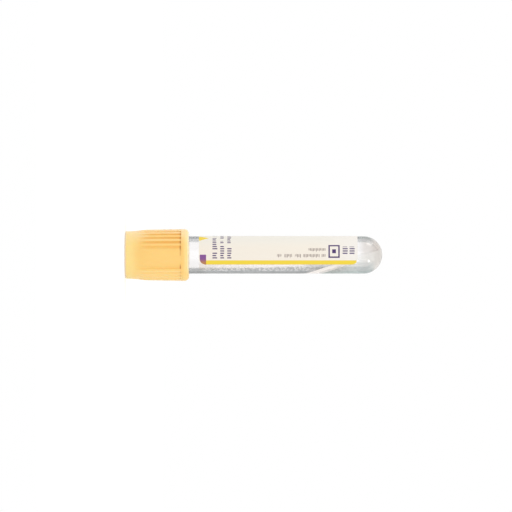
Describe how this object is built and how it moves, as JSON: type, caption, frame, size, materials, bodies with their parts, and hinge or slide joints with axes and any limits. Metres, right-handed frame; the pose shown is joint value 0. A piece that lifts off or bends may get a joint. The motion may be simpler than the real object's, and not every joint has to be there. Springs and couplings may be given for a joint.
{
  "type": "blood collection tube",
  "caption": "Clear round-ended tube with a rubber stopper in a ribbed push-on cap, a slanted serum gel and a wrapped paper label. It stands on the cap and holds a blood sample.",
  "frame": {"origin": "centre of the cap's open rim, which the part stands on", "axes": "+Z along the tube towards its round end, -Y through the front of the label"},
  "size_m": [0.018, 0.018, 0.0891],
  "materials": {
    "clear_plastic": "clear moulded polyester, polished",
    "gel": "soft translucent gel, smooth",
    "label_paper": "coated cream label paper with coloured print",
    "stopper_rubber": "satin moulded butyl rubber",
    "cap_plastic": "satin moulded polyethylene"
  },
  "bodies": {
    "cap": {"shield": "cap_plastic"},
    "stopper": {"stopper": "stopper_rubber"},
    "tube": {"tube": "clear_plastic", "serum_gel": "gel", "label": "label_paper"}
  },
  "joints": [
    {"name": "closure_twist", "type": "hinge", "parent": "cap", "child": "stopper", "pos_m": [0, 0, 0.0121], "axis": [0, 0, 1], "continuous": true},
    {"name": "closure_pull", "type": "slide", "parent": "stopper", "child": "tube", "axis": [0, 0, 1], "range_m": [0, 0.025]}
  ]
}
